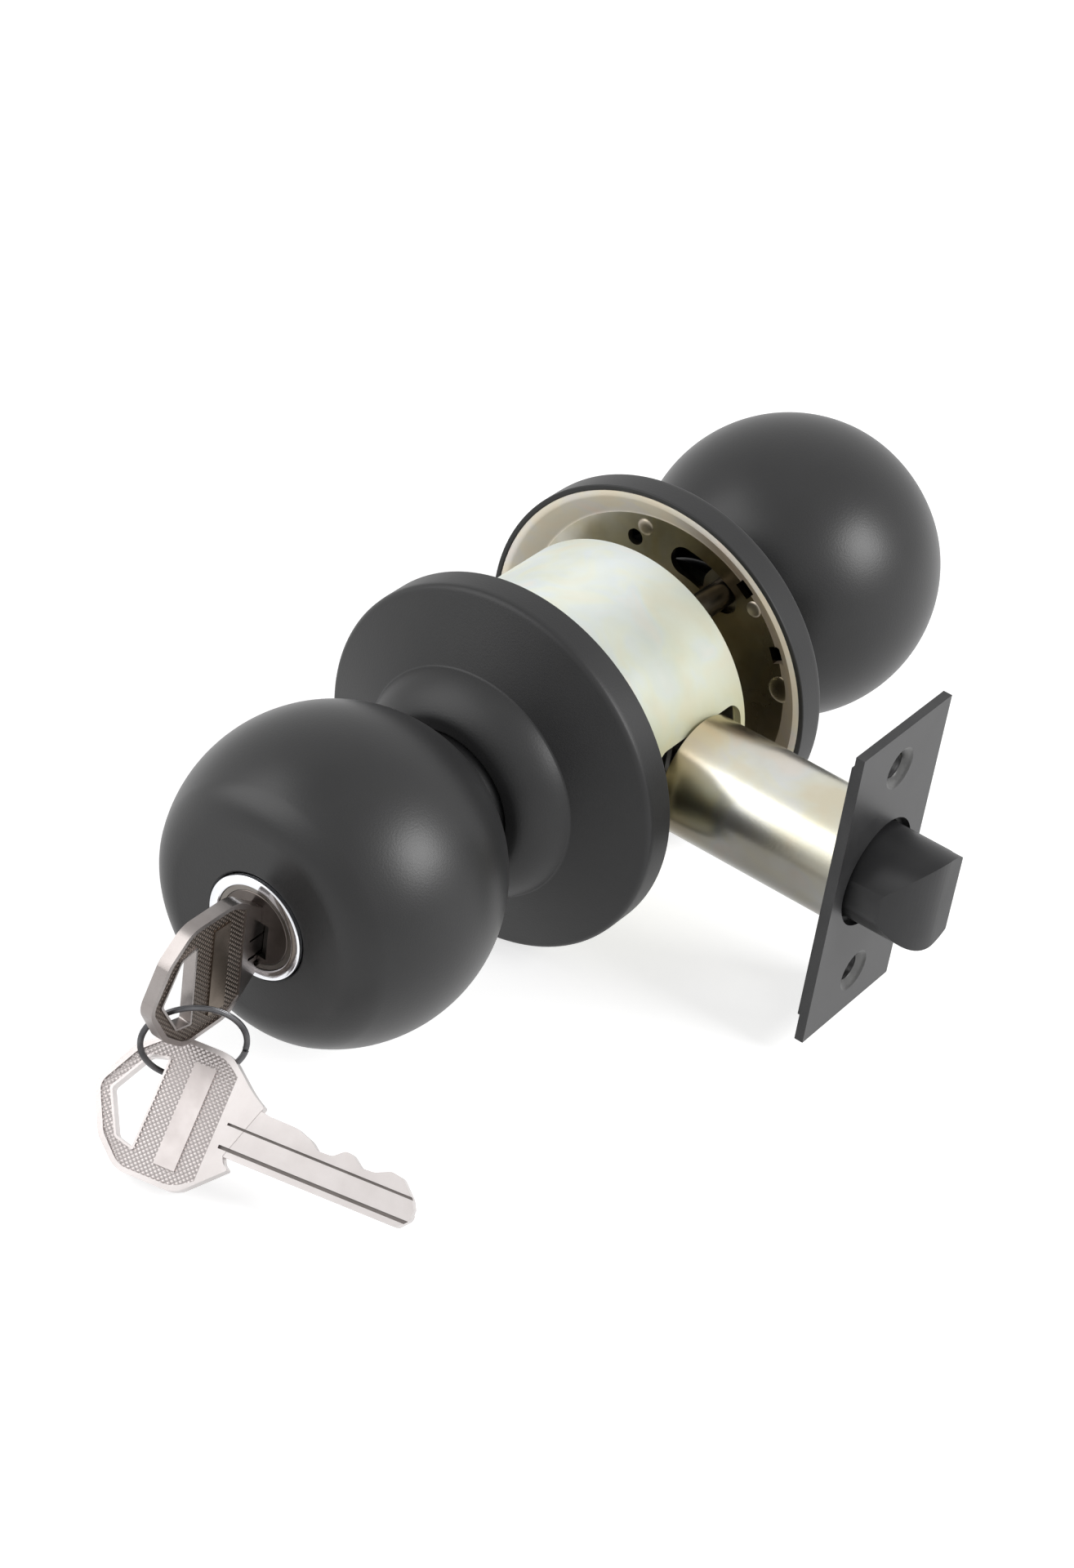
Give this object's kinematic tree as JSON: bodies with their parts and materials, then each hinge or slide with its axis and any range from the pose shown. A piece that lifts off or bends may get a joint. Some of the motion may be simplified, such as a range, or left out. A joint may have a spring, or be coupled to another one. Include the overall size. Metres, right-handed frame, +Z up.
{
  "type": "knob lockset",
  "caption": "Cylindrical knob lockset: a keyed ball knob and an inside ball knob either side of a door, with roses, a chassis drum, a spring latch with its faceplate, and keys on a ring.",
  "frame": {"origin": "where the spindle axis meets the latch axis, in the middle of the door's thickness", "axes": "+Z up, Y along the spindle with the keyed side at -Y and the inside knob at +Y, +X along the latch towards the door's edge"},
  "size_m": [0.1044, 0.2005, 0.0648],
  "materials": {
    "black_enamel": "satin black lacquer over formed steel",
    "black_bolt": "satin black lacquer over cast zinc",
    "zinc_plate": "bright zinc plate with a faint yellow tint",
    "plain_steel": "plain pressed steel",
    "spring_steel": "drawn spring wire or strip",
    "bright_chrome": "polished chrome",
    "satin_nickel": "satin nickel over brass",
    "plain_brass": "machined brass",
    "dark_wire": "dark steel wire",
    "yellow_zinc": "yellow zinc plate",
    "black_plastic": "moulded nylon",
    "black_trim": "satin black lacquer"
  },
  "bodies": {
    "chassis": {"chassis_drum": "zinc_plate", "retractor_guide": "zinc_plate", "outside_hub": "zinc_plate", "inside_hub": "zinc_plate", "outside_rose": "black_enamel", "outside_rose_liner": "zinc_plate", "mounting_plate": "zinc_plate", "mounting_screws": "yellow_zinc", "inside_rose": "black_enamel", "latch_tube": "zinc_plate", "latch_faceplate": "black_enamel", "latch_backing_plate": "zinc_plate", "latch_bolt_guide": "black_plastic", "latch_rear_plate": "zinc_plate", "retractor_springs": "spring_steel", "bolt_springs": "spring_steel"},
    "outside_knob_set": {"outside_knob": "black_enamel", "outside_knob_core": "plain_steel", "outside_shank": "plain_steel", "cylinder_trim_ring": "bright_chrome", "cylinder_body": "plain_brass", "chamber_cover": "plain_brass", "driver_pins": "plain_brass", "pin_springs": "spring_steel", "outside_spindle": "plain_steel", "outside_spindle_clip": "plain_steel", "outside_catch_spring": "spring_steel"},
    "cylinder_plug_set": {"cylinder_plug": "satin_nickel", "key_pins": "plain_brass", "plug_clip": "plain_steel", "tailpiece": "plain_steel"},
    "key_set": {"key": "satin_nickel"},
    "key_ring_set": {"key_ring": "dark_wire"},
    "spare_key_set": {"spare_key": "satin_nickel"},
    "outside_catch_set": {"outside_catch": "plain_steel"},
    "inside_knob_set": {"inside_knob": "black_enamel", "inside_knob_core": "plain_steel", "inside_shank": "plain_steel", "inside_spindle": "plain_steel", "inside_spindle_clip": "plain_steel", "inside_catch_spring": "spring_steel", "button_bushing": "black_trim"},
    "turn_button_set": {"turn_button": "black_trim", "button_clip": "plain_steel", "button_spring": "spring_steel", "locking_bar": "plain_steel"},
    "inside_catch_set": {"inside_catch": "plain_steel"},
    "retractor_set": {"retractor": "plain_steel"},
    "bolt_set": {"latch_bolt": "black_bolt", "latch_tail": "plain_steel", "tail_pin": "plain_steel"},
    "plunger_set": {"deadlatch_plunger": "black_bolt", "plunger_spring": "spring_steel"}
  },
  "joints": [
    {"name": "outside_knob_turn", "type": "hinge", "parent": "chassis", "child": "outside_knob_set", "pos_m": [0, -0.0633, 0], "axis": [0, 1, 0], "range_deg": [0, 60], "stiffness_Nm_per_rad": 0.25, "springref_deg": -20.05},
    {"name": "key_turn", "type": "hinge", "parent": "outside_knob_set", "child": "cylinder_plug_set", "pos_m": [0, -0.082, 0], "axis": [0, 1, 0], "range_deg": [0, 90]},
    {"name": "key_withdraw", "type": "slide", "parent": "cylinder_plug_set", "child": "key_set", "axis": [0, -1, 0], "range_m": [0, 0.032]},
    {"name": "ring_swing", "type": "hinge", "parent": "key_set", "child": "key_ring_set", "pos_m": [0, -0.0988, -0.0062], "axis": [1, 0, 0], "range_deg": [-30, 5]},
    {"name": "spare_key_swing", "type": "hinge", "parent": "key_ring_set", "child": "spare_key_set", "pos_m": [-0.00318, -0.09929, -0.01926], "axis": [0.1408, -0.6691, 0.7297], "range_deg": [-75, 5]},
    {"name": "outside_catch_press", "type": "slide", "parent": "outside_knob_set", "child": "outside_catch_set", "axis": [0, 0, 1], "range_m": [0, 0.002], "stiffness_N_per_m": 300, "springref_m": -0.001, "deforming": ["outside_catch_spring"]},
    {"name": "inside_knob_turn", "type": "hinge", "parent": "chassis", "child": "inside_knob_set", "pos_m": [0, 0.0633, 0], "axis": [0, 1, 0], "range_deg": [0, 60]},
    {"name": "turn_button_turn", "type": "hinge", "parent": "inside_knob_set", "child": "turn_button_set", "pos_m": [0, 0.082, 0], "axis": [0, 1, 0], "range_deg": [0, 90]},
    {"name": "inside_catch_press", "type": "slide", "parent": "inside_knob_set", "child": "inside_catch_set", "axis": [0, 0, 1], "range_m": [0, 0.002], "stiffness_N_per_m": 300, "springref_m": -0.001, "deforming": ["inside_catch_spring"]},
    {"name": "retractor_slide", "type": "slide", "parent": "chassis", "child": "retractor_set", "axis": [-1, 0, 0], "range_m": [0, 0.012], "deforming": ["retractor_springs"]},
    {"name": "bolt_slide", "type": "slide", "parent": "retractor_set", "child": "bolt_set", "axis": [-1, 0, 0], "range_m": [0, 0.012], "stiffness_N_per_m": 250, "springref_m": -0.01, "deforming": ["bolt_springs"]},
    {"name": "plunger_push", "type": "slide", "parent": "retractor_set", "child": "plunger_set", "axis": [-1, 0, 0], "range_m": [0, 0.0095], "stiffness_N_per_m": 120, "springref_m": -0.006, "deforming": ["plunger_spring"]}
  ],
  "couplings": [
    {"joint": "inside_knob_turn", "follows": "outside_knob_turn", "ratio": 1},
    {"joint": "retractor_slide", "follows": "outside_knob_turn", "m_per_rad": 0.011459}
  ]
}
